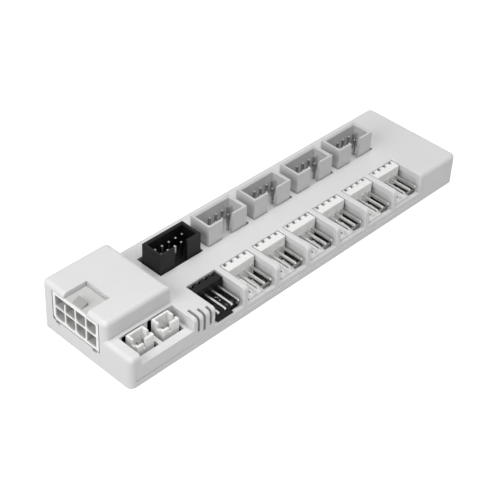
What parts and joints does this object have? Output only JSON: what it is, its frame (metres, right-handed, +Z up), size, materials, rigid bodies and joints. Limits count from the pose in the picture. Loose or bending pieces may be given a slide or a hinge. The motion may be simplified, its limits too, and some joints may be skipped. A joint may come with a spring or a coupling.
{
  "type": "pc fan controller hub",
  "caption": "Long low white fan controller hub: raised power inlet at one end, shrouded box headers along the top, right-angle fan headers in open side bays and small sensor sockets.",
  "frame": {"origin": "centre of the flat underside", "axes": "+X towards the plain end, away from the power inlet; -Y out of the fan bays; +Z up"},
  "size_m": [0.1348, 0.035, 0.0171],
  "materials": {
    "shell_white": "satin",
    "header_white": "semi-gloss",
    "header_black": "satin",
    "header_grey": "satin",
    "board_black": "satin",
    "pin_metal": "bright plated"
  },
  "bodies": {
    "root": {"top_shell": "shell_white", "bottom_cover": "shell_white", "circuit_board": "board_black", "power_header_housing": "header_white", "power_header_pins": "pin_metal", "signal_header_shroud": "header_black", "signal_header_pins": "pin_metal", "device_header_1_shroud": "header_grey", "device_header_1_pins": "pin_metal", "device_header_2_shroud": "header_grey", "device_header_2_pins": "pin_metal", "device_header_3_shroud": "header_grey", "device_header_3_pins": "pin_metal", "device_header_4_shroud": "header_grey", "device_header_4_pins": "pin_metal", "fan_header_1_body": "header_black", "fan_header_1_pins": "pin_metal", "fan_header_2_body": "header_white", "fan_header_2_pins": "pin_metal", "fan_header_3_body": "header_white", "fan_header_3_pins": "pin_metal", "fan_header_4_body": "header_white", "fan_header_4_pins": "pin_metal", "fan_header_5_body": "header_white", "fan_header_5_pins": "pin_metal", "fan_header_6_body": "header_white", "fan_header_6_pins": "pin_metal", "fan_header_7_body": "header_white", "fan_header_7_pins": "pin_metal", "sensor_socket_1_body": "header_white", "sensor_socket_1_pins": "pin_metal", "sensor_socket_2_body": "header_white", "sensor_socket_2_pins": "pin_metal"}
  },
  "joints": []
}
